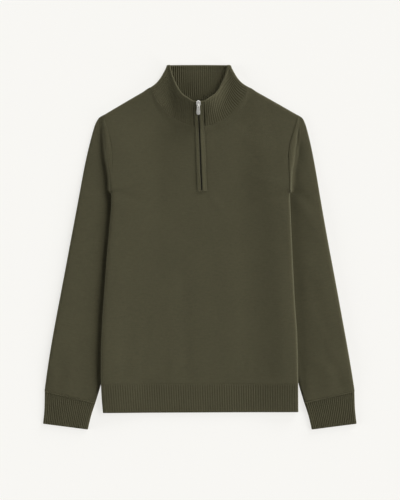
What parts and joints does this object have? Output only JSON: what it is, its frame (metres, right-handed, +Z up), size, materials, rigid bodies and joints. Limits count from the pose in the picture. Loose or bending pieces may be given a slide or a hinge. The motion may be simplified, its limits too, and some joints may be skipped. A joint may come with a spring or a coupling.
{
  "type": "quarter zip sweater",
  "caption": "Olive knit quarter zip sweater laid flat on its back, with rib collar, cuffs and hem and a metal zip pull at the neck.",
  "frame": {"origin": "middle of the garment's outline, on the surface that it lies on", "axes": "+X to the right sleeve as seen from above, +Y to the collar, +Z up off the surface, out of the front of the garment"},
  "size_m": [0.6706, 0.7797, 0.0366],
  "materials": {
    "knit": "matte",
    "zip_tape": "matte",
    "brushed_steel": "satin"
  },
  "bodies": {
    "garment": {"front_panel": "knit", "back_panel": "knit", "sleeve_left": "knit", "sleeve_right": "knit", "cuff_left": "knit", "cuff_right": "knit", "hem_front": "knit", "hem_back": "knit", "collar": "knit", "placket_left": "knit", "placket_right": "knit", "zip_chain": "zip_tape", "zip_slider": "brushed_steel"},
    "pull": {"zip_pull": "brushed_steel"}
  },
  "joints": [
    {"name": "pull_swing", "type": "hinge", "parent": "garment", "child": "pull", "pos_m": [-0.00321, 0.29933, 0.03129], "axis": [-1, 0, 0], "range_deg": [0, 130]}
  ]
}
